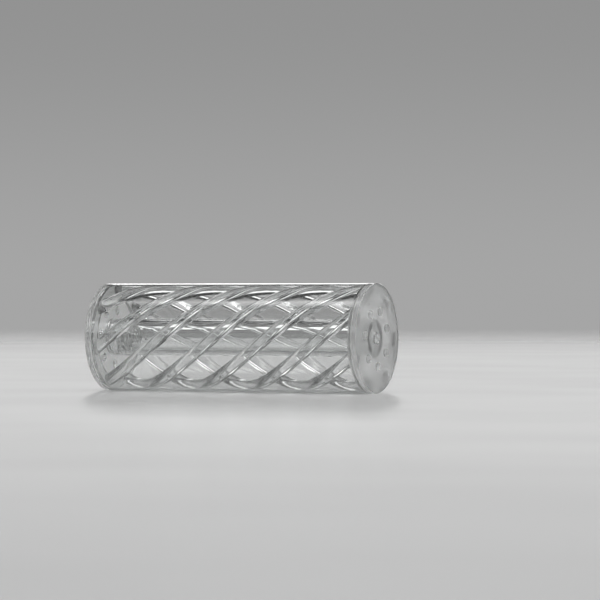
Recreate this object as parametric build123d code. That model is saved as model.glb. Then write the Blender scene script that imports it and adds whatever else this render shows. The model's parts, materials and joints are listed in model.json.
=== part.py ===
from build123d import *
import os

# Spiral carbon dioxide diffuser: a clear acrylic cylinder that lies on its side, with its axis
# along X. Gas enters through the threaded port in the inlet disc (-X), runs along the bore of
# the core tube and leaves it through small cross holes. Water comes in by the holes round the
# port. Water and bubbles travel between the core and the wall, turned by seven helical strands,
# and leave by the holes in the outlet disc (+X). The spiral cage (the strands and their two end
# rings) slides off the core and out of the tube for cleaning, and the outlet cap pulls off.
# Every sub-part is drawn about the X axis, and lifted at the end so that the tube rests on Z = 0.

# ---- driving dimensions, mm ----
OUTER_DIA = 32.0        # outside of the tube and of both end discs
WALL = 0.6              # wall of the tube, a thin clear sleeve
LENGTH = 87.4           # over the two end discs
DISC_THICK = 1.5        # each end disc
EDGE_BREAK = 0.2        # small chamfer on the outer edges

STRAND_COUNT = 7
STRAND_TURNS = 0.73     # of a full turn, over LENGTH
STRAND_START = 7.5      # degrees above the front (-Y) side, at mid length
STRAND_WIDE = 4.5       # across the strand, in a plane square to the axis
STRAND_DEEP = 2.6       # along the radius
STRAND_ROUND = 1.2      # radius of its long edges
RING_THICK = 1.0        # rings that tie the strand ends together
RING_WIDE = 2.9         # along the radius

CORE_DIA = 11.0         # core tube, outside
CORE_WALL = 1.6
ORIFICE_DIA = 0.6       # gas cross holes, one for each channel
ORIFICE_INSET = 4.5     # from the inlet end of the core to the cross holes

HOLE_DIA = 2.6          # water holes in the end discs
HOLE_CIRCLE = 16.4      # circle that they lie on, as a diameter
HOLE_START = 20.0       # degrees from +Y towards +Z

PORT_THREAD_DIA = 8.6   # tapping size of a G 1/8 thread
PORT_THREAD_DEEP = 5.0
PORT_LENGTH = 6.0       # disc face to the inner end of the boss
NOSE_LENGTH = 3.4       # nose of the port, inside the core, and the outlet stopper
NOSE_BORE = 3.0         # gas way through the nose
STEM_DIA = 3.5          # stem of the stopper, through the outlet disc
O_RING_SECTION = 1.0    # both O-rings

GASKET_THICK = 0.4
BODY_GAP = 0.3          # between faces of different bodies
CAP_GAP = 0.1           # between the gasket and the tube
RUN_FIT = 0.05          # radial clearance of a shaft in its hole
SLIDE_FIT = 0.15        # radial clearance of the cage in the tube
GLUE_LINE = 0.02        # cement between pieces that are bonded together

# ---- what follows from them ----
OUTER_R = OUTER_DIA / 2
BORE_R = OUTER_R - WALL
CAGE_R = BORE_R - SLIDE_FIT
PORT_R = CORE_DIA / 2
INLET_FACE = -LENGTH / 2
OUTLET_FACE = LENGTH / 2
INLET_DISC_BACK = INLET_FACE + DISC_THICK
OUTLET_DISC_BACK = OUTLET_FACE - DISC_THICK
TUBE_END = OUTLET_DISC_BACK - GLUE_LINE - GASKET_THICK - CAP_GAP
CAGE_FIRST = INLET_DISC_BACK + BODY_GAP
CAGE_LAST = OUTLET_DISC_BACK - BODY_GAP
STRAND_FIRST = CAGE_FIRST + RING_THICK + GLUE_LINE
STRAND_LAST = CAGE_LAST - RING_THICK - GLUE_LINE
PORT_END = INLET_FACE + PORT_LENGTH
CORE_FIRST = PORT_END + GLUE_LINE
CORE_LAST = OUTLET_DISC_BACK - BODY_GAP
CORE_BORE_R = PORT_R - CORE_WALL
NOSE_R = CORE_BORE_R - RUN_FIT
STOPPER_FIRST = CORE_LAST - NOSE_LENGTH
O_RING_R = O_RING_SECTION / 2
O_RING_MEAN_R = NOSE_R - O_RING_R
GROOVE_R = NOSE_R - O_RING_SECTION - GLUE_LINE
GROOVE_WIDE = O_RING_SECTION + BODY_GAP
CHANNEL_STEP = 360 / STRAND_COUNT
TWIST_PER_MM = 360 * STRAND_TURNS / LENGTH


# ---- helpers ----
def rod(radius, x_first, x_last):
    """A round bar on the X axis."""
    bar = Cylinder(radius, x_last - x_first, align=(Align.CENTER, Align.CENTER, Align.MIN))
    return Pos(x_first, 0, 0) * Rot(0, 90, 0) * bar


def tube(outer, inner, x_first, x_last):
    """A round bar with a hole right through it."""
    return rod(outer, x_first, x_last) - rod(inner, x_first - 1, x_last + 1)


def water_holes(x_first, x_last):
    """Cutters for the ring of water holes, counted from +Y towards +Z."""
    cutters = []
    for index in range(STRAND_COUNT):
        turn = Rot(HOLE_START + index * CHANNEL_STEP, 0, 0)
        cutters.append(turn * Pos(0, HOLE_CIRCLE / 2, 0) * rod(HOLE_DIA / 2, x_first, x_last))
    return cutters


def strand_angle(x_place):
    """Where the first strand is, in degrees from -Y towards +Z."""
    return STRAND_START + TWIST_PER_MM * x_place


def o_ring(x_place):
    """A round-section seal about the X axis."""
    return Pos(x_place, 0, 0) * Rot(0, 90, 0) * Torus(O_RING_MEAN_R, O_RING_R)


def grooved_rod(x_first):
    """A short round bar that fits the core tube, with a groove for an O-ring round its middle."""
    bar = rod(NOSE_R, x_first, x_first + NOSE_LENGTH)
    middle = x_first + NOSE_LENGTH / 2
    return bar - tube(NOSE_R + 1, GROOVE_R, middle - GROOVE_WIDE / 2, middle + GROOVE_WIDE / 2)


def end_disc(centre_r, x_first, x_last, x_open):
    """A disc with a centre hole and the water holes, and its rim chamfered on the open side."""
    disc = tube(OUTER_R, centre_r, x_first, x_last)
    circles = disc.edges().filter_by(GeomType.CIRCLE)
    rims = circles.filter_by(lambda edge: abs(edge.radius - OUTER_R) < EDGE_BREAK)
    open_rim = rims.filter_by(lambda edge: abs(edge.center().X - x_open) < EDGE_BREAK)
    return chamfer(open_rim, EDGE_BREAK) - water_holes(x_first - 1, x_last + 1)


# ---- housing ----
def make_outer_tube():
    return tube(OUTER_R, BORE_R, INLET_DISC_BACK + GLUE_LINE, TUBE_END)


def make_inlet_disc():
    return end_disc(PORT_R + GLUE_LINE, INLET_FACE, INLET_DISC_BACK, INLET_FACE)


def make_inlet_port():
    """Boss with the threaded bore, and the nose that the core tube sits on."""
    boss = rod(PORT_R, INLET_FACE, PORT_END)
    thread = rod(PORT_THREAD_DIA / 2, INLET_FACE - 1, INLET_FACE + PORT_THREAD_DEEP)
    gas_way = rod(NOSE_BORE / 2, INLET_FACE, PORT_END + NOSE_LENGTH + 1)
    return boss + grooved_rod(PORT_END) - thread - gas_way


def make_port_o_ring():
    return o_ring(PORT_END + NOSE_LENGTH / 2)


def make_core_tube():
    """Tube with a gas hole for each channel near its inlet end."""
    core = tube(PORT_R, CORE_BORE_R, CORE_FIRST, CORE_LAST)
    orifice_x = CORE_FIRST + ORIFICE_INSET
    drill = Cylinder(ORIFICE_DIA / 2, CORE_DIA, align=(Align.CENTER, Align.CENTER, Align.MIN))
    for index in range(STRAND_COUNT):
        turn = 180 - strand_angle(orifice_x) + (index + 0.5) * CHANNEL_STEP
        core -= Pos(orifice_x, 0, 0) * Rot(turn, 0, 0) * Rot(-90, 0, 0) * drill
    return core


# ---- cage ----
def make_strand(index):
    """A bar of rounded section that winds round the X axis from one ring to the other."""
    section = RectangleRounded(STRAND_DEEP, STRAND_WIDE, STRAND_ROUND)
    mean_r = CAGE_R - STRAND_DEEP / 2
    face = (Plane.YZ * Pos(mean_r, 0, 0) * section).face()
    run = STRAND_LAST - STRAND_FIRST
    bar = Solid.extrude_linear_with_rotation(
        face, center=(0, 0, 0), normal=(run, 0, 0), angle=TWIST_PER_MM * run
    )
    left_handed = bar.mirror(Plane.XZ)
    turn = -strand_angle(STRAND_FIRST) - index * CHANNEL_STEP
    return Pos(STRAND_FIRST, 0, 0) * Rot(turn, 0, 0) * left_handed


def make_ring(x_first):
    """Flat ring that the strand ends are bonded to."""
    return tube(CAGE_R, CAGE_R - RING_WIDE, x_first, x_first + RING_THICK)


# ---- outlet cap ----
def make_outlet_disc():
    return end_disc(STEM_DIA / 2 + GLUE_LINE, OUTLET_DISC_BACK, OUTLET_FACE, OUTLET_FACE)


def make_outlet_gasket():
    seat = OUTLET_DISC_BACK - GLUE_LINE
    return tube(OUTER_R, BORE_R, seat - GASKET_THICK, seat)


def make_outlet_plug():
    """Stopper that closes the core tube, on a stem through the disc, and holds the cap on."""
    return grooved_rod(STOPPER_FIRST) + rod(STEM_DIA / 2, STOPPER_FIRST, OUTLET_FACE)


def make_plug_o_ring():
    return o_ring(STOPPER_FIRST + NOSE_LENGTH / 2)


def main():
    nodes = {
        "outer_tube": make_outer_tube(),
        "inlet_disc": make_inlet_disc(),
        "inlet_port": make_inlet_port(),
        "port_o_ring": make_port_o_ring(),
        "core_tube": make_core_tube(),
        "inlet_ring": make_ring(CAGE_FIRST),
        "outlet_ring": make_ring(CAGE_LAST - RING_THICK),
        "outlet_disc": make_outlet_disc(),
        "outlet_gasket": make_outlet_gasket(),
        "outlet_plug": make_outlet_plug(),
        "plug_o_ring": make_plug_o_ring(),
    }
    for index in range(STRAND_COUNT):
        nodes[f"strand_{index + 1}"] = make_strand(index)

    os.makedirs("parts", exist_ok=True)
    for name, shape in nodes.items():
        export_step(Pos(0, 0, OUTER_R) * shape, f"parts/{name}.step")


main()
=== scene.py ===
import json
import math
import bpy
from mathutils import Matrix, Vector


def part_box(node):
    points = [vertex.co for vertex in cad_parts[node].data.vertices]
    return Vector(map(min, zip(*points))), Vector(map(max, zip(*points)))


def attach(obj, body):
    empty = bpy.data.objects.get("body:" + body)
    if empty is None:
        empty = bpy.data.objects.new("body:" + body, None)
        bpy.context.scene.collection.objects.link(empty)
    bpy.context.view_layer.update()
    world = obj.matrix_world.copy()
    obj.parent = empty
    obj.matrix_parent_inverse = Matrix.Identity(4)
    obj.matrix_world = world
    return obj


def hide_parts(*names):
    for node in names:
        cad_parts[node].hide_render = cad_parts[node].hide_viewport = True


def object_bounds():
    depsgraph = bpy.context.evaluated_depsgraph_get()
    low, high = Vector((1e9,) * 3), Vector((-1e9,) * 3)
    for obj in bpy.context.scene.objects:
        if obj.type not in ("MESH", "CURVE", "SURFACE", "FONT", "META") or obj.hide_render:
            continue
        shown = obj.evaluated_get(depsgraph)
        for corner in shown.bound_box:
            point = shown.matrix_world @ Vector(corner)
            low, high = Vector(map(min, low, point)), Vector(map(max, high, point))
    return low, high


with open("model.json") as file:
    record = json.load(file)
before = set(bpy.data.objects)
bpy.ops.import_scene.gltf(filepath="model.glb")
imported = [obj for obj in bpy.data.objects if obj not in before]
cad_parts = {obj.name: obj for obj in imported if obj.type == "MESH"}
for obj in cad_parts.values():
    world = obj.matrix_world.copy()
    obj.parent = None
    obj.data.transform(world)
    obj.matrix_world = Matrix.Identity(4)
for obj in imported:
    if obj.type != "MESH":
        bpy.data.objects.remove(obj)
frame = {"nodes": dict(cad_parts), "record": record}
cad_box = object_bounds()

# A clear spiral carbon dioxide diffuser that lies on a pale floor. The CAD nodes keep their shapes
# and get clear plastics, and the gas port is made again here, with its thread cut.
# Lengths are in metres and angles in degrees.

# ---- camera ----
LOW, HIGH = (Vector(corner) for corner in cad_box)
CENTRE = (LOW + HIGH) / 2
CAMERA_AZIMUTH = 25.38      # the camera stands this far round from straight in front, towards +X
CAMERA_DISTANCE = 1.0       # from the object's middle, measured along the floor
CAMERA_HEIGHT = 0.0282      # above the floor
CAMERA_PAN = 0.996          # turned to the right of the object's middle
CAMERA_TILT = -0.0645
CAMERA_CLIP = 0.01
LENS_MM = 203.35
SENSOR_MM = 36.0

# ---- light from the surroundings ----
# Each zone of the sky has a brightness, and ranges that bound it. A zone is absent up to a range's
# first number and full from its second. RISE and FALL are by height, the sine of the elevation.
# AHEAD is by how far a direction points away from the camera, 1 straight ahead and -1 straight
# back, and SIDE by how far it points to the camera's right.
BACKDROP_LOW = 0.38         # grey backdrop, at the floor
BACKDROP_HIGH = 0.29        # and at BACKDROP_TOP
BACKDROP_TOP = 0.09
FRONT_LOW = 0.17            # behind the camera, near the floor
FRONT_AHEAD = (0.1, -0.2)
DARK_SKY = 0.02             # all round, above the backdrop
DARK_RISE = (0.095, 0.14)
HIGH_SKY = 0.05             # all round, further up
HIGH_RISE = (0.60, 0.66)
STRIP_LIGHT = 2.2           # bright strip behind the object
STRIP_RISE = (0.12, 0.15)
STRIP_FALL = (0.31, 0.27)
STRIP_AHEAD = (0.70, 0.85)
LEFT_DARK = 0.03            # dark screen on the left
LEFT_SIDE = (-0.26, -0.42)
LEFT_FALL = (0.66, 0.56)
WINDOW_LIGHT = 1.3          # window on the right
WINDOW_RISE = (0.48, 0.56)
WINDOW_FALL = (0.80, 0.74)
WINDOW_SIDE = (0.22, 0.36)
WALL_LIGHT = 0.85           # softly lit wall behind the camera
WALL_RISE = (0.16, 0.22)
WALL_FALL = (0.50, 0.42)
WALL_AHEAD = (-0.2, -0.5)
TOP_LIGHT = 3.2             # softbox overhead, on the camera's side
TOP_RISE = (0.84, 0.92)
TOP_AHEAD = (0.20, 0.05)

# ---- floor ----
FLOOR_RADIUS = 3.0
FLOOR_CORNERS = 96
FLOOR_TONE = 0.69
FLOOR_PAINTED_SHADE_TONE = 0.38          # painted shade towards the camera, where the floor is out of the light
FLOOR_PAINTED_SHADE_SPAN = (-0.20, -0.75)     # Y where the painted shade starts, and where it is full
FLOOR_FADE = (0.45, 2.0)        # distance over which the floor melts into the backdrop
FLOOR_GLOSS = 0.12
FLOOR_ROUGH = (0.21, 0.23)      # least and most
FLOOR_CLOUDS = 12.0             # patches of more and less roughness, to the metre
FLOOR_CLOUD_SPAN = (0.3, 0.7)   # noise values that give the least and the most

# ---- plastics ----
# A stretch is how many features there are to the metre along X, Y and Z.
ACRYLIC_IOR = 1.49
SILICONE_IOR = 1.41
WAVE_STRETCH = (45.0, 420.0, 420.0)             # faint waves left by drawing the plastic
CLOUD_STRETCH = (160.0, 240.0, 240.0)           # patches of more and less polish
CLOUD_SPAN = (0.3, 0.75)                        # noise values that give the least and the most
CLOUD_POLISH = (0.8, 1.25)                      # roughness there, as a share of the polish
LONG_SCRATCH_STRETCH = (500.0, 6500.0, 6500.0)  # scratches along the tube
LONG_SCRATCH_WIDTH = 0.012
CROSS_SCRATCH_STRETCH = (5200.0, 2300.0, 900.0)
CROSS_SCRATCH_WIDTH = 0.010
SCRATCH_PATCH_STRETCH = (300.0, 300.0, 300.0)   # patches in which the scratches show
SCRATCH_PATCH_SPAN = (0.52, 0.66)
SCRATCH_ROUGH = 0.09
WORN_REACH = 0.00012        # how far the wear of an edge reaches
WORN_SAMPLES = 6
WORN_SPAN = (0.80, 0.99)    # cosine of the turn at an edge: fully worn, and not worn
DISC_SKIN = 0.00005         # depth to which a disc is sanded where it is glued
STRAND_SKIN = 0.00008       # the same for a strand's ends
SKIN_FADE = 0.0001          # depth over which the sanding goes out
MILLIMETRE = 0.001

# ---- gas port ----
THREAD_PITCH = 0.000907     # G 1/8, right-handed
THREAD_CUT = 0.00056        # depth of the groove
THREAD_RADIUS = 0.0043      # of the crests
THREAD_LENGTH = 0.0050
THREAD_HALF = 0.42          # half the width of the groove, in pitches
THREAD_ROOT = 0.9           # the V of the groove is cut off flat at this share of its depth
RUNOUT_END = 0.45           # the groove ends this many pitches from the bottom of the bore
RUNOUT_LENGTH = 1.5         # pitches over which it fades out
THREAD_STEPS = 84           # rings of points along the thread
AROUND = 96                 # points round each ring
GAS_WAY_RADIUS = 0.0015
BOSS_LENGTH = 0.0060
NOSE_RADIUS = 0.00385
GROOVE_RADIUS = 0.00283     # floor of the O-ring's groove
GROOVE_HALF = 0.00065       # half its width
BREAK = 0.00015             # small chamfers
SHARP_ANGLE = 32            # edges that turn by more than this stay sharp

scene = bpy.context.scene


def add_camera():
    """A long lens, almost level with the object."""
    data = bpy.data.cameras.new("camera")
    data.lens = LENS_MM
    data.sensor_width = SENSOR_MM
    data.clip_start = CAMERA_CLIP
    camera = bpy.data.objects.new("camera", data)
    scene.collection.objects.link(camera)
    azimuth = math.radians(CAMERA_AZIMUTH)
    camera.location = (
        CENTRE.x + CAMERA_DISTANCE * math.sin(azimuth),
        CENTRE.y - CAMERA_DISTANCE * math.cos(azimuth),
        LOW.z + CAMERA_HEIGHT,
    )
    camera.rotation_euler = (
        math.radians(90 + CAMERA_TILT),
        0,
        azimuth - math.radians(CAMERA_PAN),
    )
    scene.camera = camera


# ---- node helpers ----
class Nodes:
    """Short names for building a node tree."""

    def __init__(self, tree):
        self.tree = tree
        tree.nodes.clear()

    def add(self, kind, inputs=None, **settings):
        """A new node, with its settings made and its inputs plugged."""
        node = self.tree.nodes.new(kind)
        for name, value in settings.items():
            setattr(node, name, value)
        for name, value in (inputs or {}).items():
            self.plug(node, name, value)
        return node

    def plug(self, node, name, value):
        """Link an input to another node's output, or set it to a plain value."""
        if isinstance(value, bpy.types.NodeSocket):
            self.tree.links.new(value, node.inputs[name])
        else:
            node.inputs[name].default_value = value

    def math(self, operation, *values):
        """One operation on values that are numbers or outputs of other nodes."""
        node = self.add("ShaderNodeMath", operation=operation)
        for index, value in enumerate(values):
            self.plug(node, index, value)
        return node.outputs[0]

    def smooth(self, value, start, end, at_start=0.0, at_end=1.0):
        """at_start until value reaches start, and at_end once it is past end."""
        ends = {"From Min": start, "From Max": end, "To Min": at_start, "To Max": at_end}
        node = self.add(
            "ShaderNodeMapRange", {"Value": value, **ends}, interpolation_type="SMOOTHSTEP"
        )
        return node.outputs["Result"]

    def mix(self, factor, first, second):
        """first where factor is 0, second where it is 1."""
        node = self.add("ShaderNodeMix", {"Factor": factor}, data_type="FLOAT")
        self.plug(node, "A", first)
        self.plug(node, "B", second)
        return node.outputs[0]

    def zone(self, value, inside, *ranges):
        """value, but inside where every (coordinate, start, end) range is past its end."""
        mask = None
        for coordinate, start, end in ranges:
            step = self.smooth(coordinate, start, end)
            mask = step if mask is None else self.math("MULTIPLY", mask, step)
        return self.mix(mask, value, inside)


def add_world():
    """Grey backdrop, a bright strip low behind the object, and a dark sky with soft lights."""
    world = bpy.data.worlds.new("studio")
    scene.world = world
    world.use_nodes = True
    nodes = Nodes(world.node_tree)
    direction = nodes.add("ShaderNodeTexCoord").outputs["Generated"]
    parts = nodes.add("ShaderNodeSeparateXYZ", {"Vector": direction})
    x, y, height = (parts.outputs[name] for name in "XYZ")
    azimuth = math.radians(CAMERA_AZIMUTH)
    sine, cosine = math.sin(azimuth), math.cos(azimuth)
    ahead = nodes.math("ADD", nodes.math("MULTIPLY", x, -sine), nodes.math("MULTIPLY", y, cosine))
    side = nodes.math("ADD", nodes.math("MULTIPLY", x, cosine), nodes.math("MULTIPLY", y, sine))

    sky = nodes.smooth(height, 0.0, BACKDROP_TOP, BACKDROP_LOW, BACKDROP_HIGH)
    sky = nodes.zone(sky, FRONT_LOW, (ahead, *FRONT_AHEAD))
    sky = nodes.zone(sky, DARK_SKY, (height, *DARK_RISE))
    sky = nodes.zone(sky, HIGH_SKY, (height, *HIGH_RISE))
    sky = nodes.zone(
        sky, STRIP_LIGHT, (height, *STRIP_RISE), (height, *STRIP_FALL), (ahead, *STRIP_AHEAD)
    )
    sky = nodes.zone(sky, LEFT_DARK, (side, *LEFT_SIDE), (height, *LEFT_FALL))
    sky = nodes.zone(
        sky, WINDOW_LIGHT, (height, *WINDOW_RISE), (height, *WINDOW_FALL), (side, *WINDOW_SIDE)
    )
    sky = nodes.zone(
        sky, WALL_LIGHT, (height, *WALL_RISE), (height, *WALL_FALL), (ahead, *WALL_AHEAD)
    )
    sky = nodes.zone(sky, TOP_LIGHT, (height, *TOP_RISE), (ahead, *TOP_AHEAD))
    background = nodes.add("ShaderNodeBackground", {"Color": (1, 1, 1, 1), "Strength": sky})
    nodes.add("ShaderNodeOutputWorld", {"Surface": background.outputs[0]})


def floor_material():
    """Pale satin paint with painted shade towards the camera, and fading out at a distance."""
    material = bpy.data.materials.new("studio_floor")
    material.use_nodes = True
    nodes = Nodes(material.node_tree)
    place = nodes.add("ShaderNodeTexCoord").outputs["Object"]
    distance = nodes.add("ShaderNodeVectorMath", {0: place}, operation="LENGTH").outputs["Value"]
    depth = nodes.add("ShaderNodeSeparateXYZ", {"Vector": place}).outputs["Y"]
    # painted shade: the floor's colour is made darker towards the camera, where it is out of the light
    lit_tone_and_painted_shade = nodes.mix(nodes.smooth(depth, *FLOOR_PAINTED_SHADE_SPAN), FLOOR_TONE, FLOOR_PAINTED_SHADE_TONE)
    colour = nodes.add("ShaderNodeCombineColor", {"Red": lit_tone_and_painted_shade, "Green": lit_tone_and_painted_shade, "Blue": lit_tone_and_painted_shade})
    clouds = nodes.add(
        "ShaderNodeTexNoise", {"Vector": place, "Scale": FLOOR_CLOUDS, "Detail": 1.0}
    )
    surface = nodes.add(
        "ShaderNodeBsdfPrincipled",
        {
            "Base Color": colour.outputs[0],
            "Roughness": nodes.smooth(clouds.outputs[0], *FLOOR_CLOUD_SPAN, *FLOOR_ROUGH),
            "Specular IOR Level": FLOOR_GLOSS,
        },
    )
    clear = nodes.add("ShaderNodeBsdfTransparent")
    both = nodes.add("ShaderNodeMixShader", {"Fac": nodes.smooth(distance, *FLOOR_FADE)})
    nodes.plug(both, 1, surface.outputs[0])
    nodes.plug(both, 2, clear.outputs[0])
    nodes.add("ShaderNodeOutputMaterial", {"Surface": both.outputs[0]})
    return material


def add_floor():
    """A round floor under the object."""
    mesh = bpy.data.meshes.new("studio_floor")
    rim = []
    for corner in range(FLOOR_CORNERS):
        angle = 2 * math.pi * corner / FLOOR_CORNERS
        rim.append((FLOOR_RADIUS * math.cos(angle), FLOOR_RADIUS * math.sin(angle), 0))
    mesh.from_pydata(rim, [], [tuple(range(FLOOR_CORNERS))])
    floor = bpy.data.objects.new("studio_floor", mesh)
    floor.location = (CENTRE.x, CENTRE.y, LOW.z)
    scene.collection.objects.link(floor)
    mesh.materials.append(floor_material())


# ---- materials ----
def grain(nodes, place, stretch, detail=2.0):
    """Noise from 0 to 1, with stretch features to the metre along each axis."""
    scaled = nodes.add("ShaderNodeVectorMath", {0: place, 1: stretch}, operation="MULTIPLY")
    noise = nodes.add(
        "ShaderNodeTexNoise", {"Vector": scaled.outputs[0], "Scale": 1.0, "Detail": detail}
    )
    return noise.outputs[0]


def scratches(nodes, place, stretch, width):
    """Thin lines where the noise crosses its middle value, broken up into short runs."""
    off_middle = nodes.math("SUBTRACT", grain(nodes, place, stretch, 1.0), 0.5)
    line = nodes.smooth(nodes.math("ABSOLUTE", off_middle), 0.0, width, 1.0, 0.0)
    patch = nodes.smooth(grain(nodes, place, SCRATCH_PATCH_STRETCH), *SCRATCH_PATCH_SPAN)
    return nodes.math("MULTIPLY", line, patch)


def worn_edges(nodes):
    """1 on sharp edges, 0 on open faces."""
    rounded = nodes.add("ShaderNodeBevel", {"Radius": WORN_REACH}, samples=WORN_SAMPLES)
    normal = nodes.add("ShaderNodeNewGeometry").outputs["Normal"]
    turn = nodes.add(
        "ShaderNodeVectorMath", {0: rounded.outputs[0], 1: normal}, operation="DOT_PRODUCT"
    )
    return nodes.smooth(turn.outputs["Value"], *WORN_SPAN, 1.0, 0.0)


def clear_plastic(name, colour, ior, polish, haze, waviness, scratch_depth, sanded=0.0, glued=None):
    """Transparent plastic with faint waves, scratches, worn edges and sanded glued faces.

    polish is the roughness of the open faces, haze that of the worn edges and sanded that of the
    glued faces. glued is the range of distances from the middle of the tube, along X, over which
    the sanding comes in. waviness and scratch_depth are in millimetres.
    """
    material = bpy.data.materials.new(name)
    material.use_nodes = True
    nodes = Nodes(material.node_tree)
    place = nodes.add("ShaderNodeTexCoord").outputs["Object"]
    marks = nodes.math(
        "MAXIMUM",
        scratches(nodes, place, LONG_SCRATCH_STRETCH, LONG_SCRATCH_WIDTH),
        scratches(nodes, place, CROSS_SCRATCH_STRETCH, CROSS_SCRATCH_WIDTH),
    )
    clouds = grain(nodes, place, CLOUD_STRETCH, 3.0)
    least, most = (polish * share for share in CLOUD_POLISH)
    rough = nodes.smooth(clouds, *CLOUD_SPAN, least, most)
    rough = nodes.mix(marks, rough, max(polish, SCRATCH_ROUGH))
    if glued is not None:
        along = nodes.add("ShaderNodeSeparateXYZ", {"Vector": place}).outputs["X"]
        rough = nodes.zone(rough, sanded, (nodes.math("ABSOLUTE", along), *glued))
    rough = nodes.mix(worn_edges(nodes), rough, haze)
    waves = grain(nodes, place, WAVE_STRETCH)
    dents = nodes.math("MULTIPLY", marks, -scratch_depth)
    height = nodes.math("MULTIPLY_ADD", waves, waviness, dents)
    bump = nodes.add("ShaderNodeBump", {"Strength": 1.0, "Distance": MILLIMETRE, "Height": height})
    surface = nodes.add(
        "ShaderNodeBsdfPrincipled",
        {
            "Base Color": (*colour, 1),
            "Roughness": rough,
            "IOR": ior,
            "Transmission Weight": 1.0,
            "Normal": bump.outputs[0],
        },
    )
    nodes.add("ShaderNodeOutputMaterial", {"Surface": surface.outputs[0]})
    return material


def polished_acrylic():
    """For the tube, the core, the port and the small parts."""
    return clear_plastic(
        "clear_acrylic",
        colour=(0.92, 0.925, 0.923),
        ior=ACRYLIC_IOR,
        polish=0.0,
        haze=0.12,
        waviness=0.001,
        scratch_depth=0.0003,
    )


def hazed_acrylic():
    """For the two end discs, sanded on their inner faces."""
    inner_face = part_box("outlet_disc")[0][0]
    skin_end = inner_face + DISC_SKIN
    return clear_plastic(
        "hazed_acrylic",
        colour=(0.90, 0.905, 0.903),
        ior=ACRYLIC_IOR,
        polish=0.03,
        haze=0.2,
        waviness=0.001,
        scratch_depth=0.0003,
        sanded=0.45,
        glued=(skin_end + SKIN_FADE, skin_end),
    )


def drawn_acrylic():
    """For the strands, sanded on the ends that are glued to the rings."""
    end_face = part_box("strand_1")[1][0]
    skin_end = end_face - STRAND_SKIN
    return clear_plastic(
        "drawn_acrylic",
        colour=(0.91, 0.915, 0.913),
        ior=ACRYLIC_IOR,
        polish=0.0,
        haze=0.10,
        waviness=0.0008,
        scratch_depth=0.0003,
        sanded=0.5,
        glued=(skin_end - SKIN_FADE, skin_end),
    )


def clear_silicone():
    """For the O-rings and the gasket."""
    return clear_plastic(
        "clear_silicone",
        colour=(0.90, 0.905, 0.90),
        ior=SILICONE_IOR,
        polish=0.2,
        haze=0.3,
        waviness=0.001,
        scratch_depth=0.0,
    )


def dress(port):
    """Give the CAD nodes and the port the materials of their slots, and the strands their own."""
    slots = {
        "clear_acrylic": polished_acrylic(),
        "hazed_acrylic": hazed_acrylic(),
        "clear_silicone": clear_silicone(),
    }
    drawn = drawn_acrylic()
    for part in frame["record"]["subparts"]:
        is_strand = part["node"].startswith("strand_")
        node = frame["nodes"][part["node"]]
        node.material_slots[0].material = drawn if is_strand else slots[part["material_slot"]]
    port.data.materials.append(slots["clear_acrylic"])


# ---- the gas port, with its thread cut ----
def port_profile(start, end, boss_radius):
    """Outline of the port as (x, r), from the mouth of its bore round to the thread's end."""
    boss_end = start + BOSS_LENGTH
    groove = (boss_end + end) / 2
    thread_end = start + THREAD_LENGTH
    return [
        (start, THREAD_RADIUS + THREAD_CUT),
        (start, boss_radius - BREAK),
        (start + BREAK, boss_radius),
        (boss_end - BREAK, boss_radius),
        (boss_end, boss_radius - BREAK),
        (boss_end, NOSE_RADIUS),
        (groove - GROOVE_HALF, NOSE_RADIUS),
        (groove - GROOVE_HALF, GROOVE_RADIUS),
        (groove + GROOVE_HALF, GROOVE_RADIUS),
        (groove + GROOVE_HALF, NOSE_RADIUS),
        (end - BREAK, NOSE_RADIUS),
        (end, NOSE_RADIUS - BREAK),
        (end, GAS_WAY_RADIUS + BREAK),
        (end - BREAK, GAS_WAY_RADIUS),
        (thread_end, GAS_WAY_RADIUS),
        (thread_end, THREAD_RADIUS),
    ]


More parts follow.
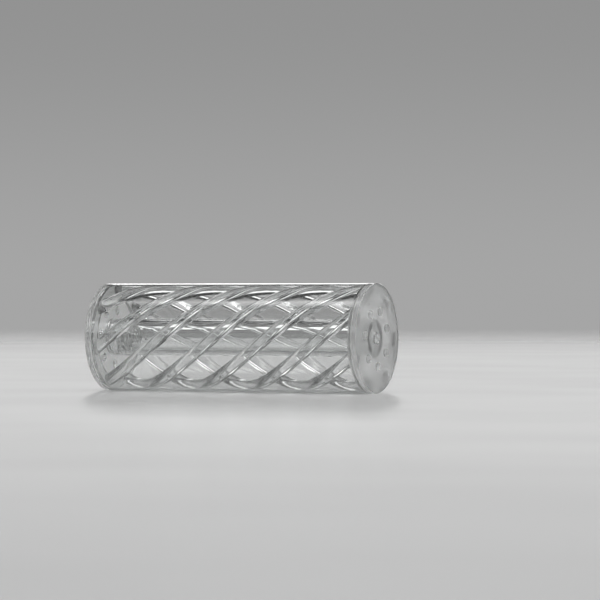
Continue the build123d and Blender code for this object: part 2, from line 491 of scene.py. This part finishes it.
def thread_radius(x, turn, start):
    """Radius of the threaded bore at one place: a V groove that fades out at the bottom."""
    phase = (x / THREAD_PITCH - turn) % 1.0
    depth = min(max(0.0, 1.0 - abs(phase - 0.5) / THREAD_HALF), THREAD_ROOT) / THREAD_ROOT
    from_bottom = (start + THREAD_LENGTH - x) / THREAD_PITCH
    fade = min(1.0, max(0.0, (from_bottom - RUNOUT_END) / RUNOUT_LENGTH))
    countersink = max(0.0, start + THREAD_CUT - x)
    return THREAD_RADIUS + max(THREAD_CUT * depth * fade, countersink)


def port_rings(start, end, boss_radius):
    """Rings of (x, r) points: the port's outline, then the thread from its end to its mouth."""
    rings = [[point] * AROUND for point in port_profile(start, end, boss_radius)]
    for step in range(1, THREAD_STEPS):
        x = start + THREAD_LENGTH * (1 - step / THREAD_STEPS)
        rings.append([(x, thread_radius(x, side / AROUND, start)) for side in range(AROUND)])
    return rings


def add_gas_port():
    """The CAD port again, with a helical thread in its bore."""
    low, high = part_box("inlet_port")
    middle_y, middle_z = (low[1] + high[1]) / 2, (low[2] + high[2]) / 2
    rings = port_rings(low[0], high[0], boss_radius=(high[2] - low[2]) / 2)
    points = []
    faces = []
    for index, ring in enumerate(rings):
        here = index * AROUND
        following = (index + 1) % len(rings) * AROUND
        for side, (x, radius) in enumerate(ring):
            angle = 2 * math.pi * side / AROUND
            beside = (side + 1) % AROUND
            points.append((x, middle_y + radius * math.cos(angle), middle_z + radius * math.sin(angle)))
            faces.append((here + side, here + beside, following + beside, following + side))
    mesh = bpy.data.meshes.new("threaded_gas_port")
    mesh.from_pydata(points, [], faces)
    mesh.polygons.foreach_set("use_smooth", [True] * len(mesh.polygons))
    mesh.set_sharp_from_angle(angle=math.radians(SHARP_ANGLE))
    port = bpy.data.objects.new("threaded_gas_port", mesh)
    scene.collection.objects.link(port)
    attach(port, "housing")
    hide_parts("inlet_port")
    return port


def render_limits():
    """Enough bounces for light to pass through all the clear walls."""
    scene.view_settings.view_transform = "Standard"
    scene.cycles.max_bounces = 40
    scene.cycles.transmission_bounces = 36
    scene.cycles.transparent_max_bounces = 24
    scene.cycles.glossy_bounces = 16
    scene.cycles.caustics_reflective = True
    scene.cycles.caustics_refractive = True
    scene.cycles.blur_glossy = 0.0


add_camera()
add_world()
add_floor()
dress(add_gas_port())
render_limits()
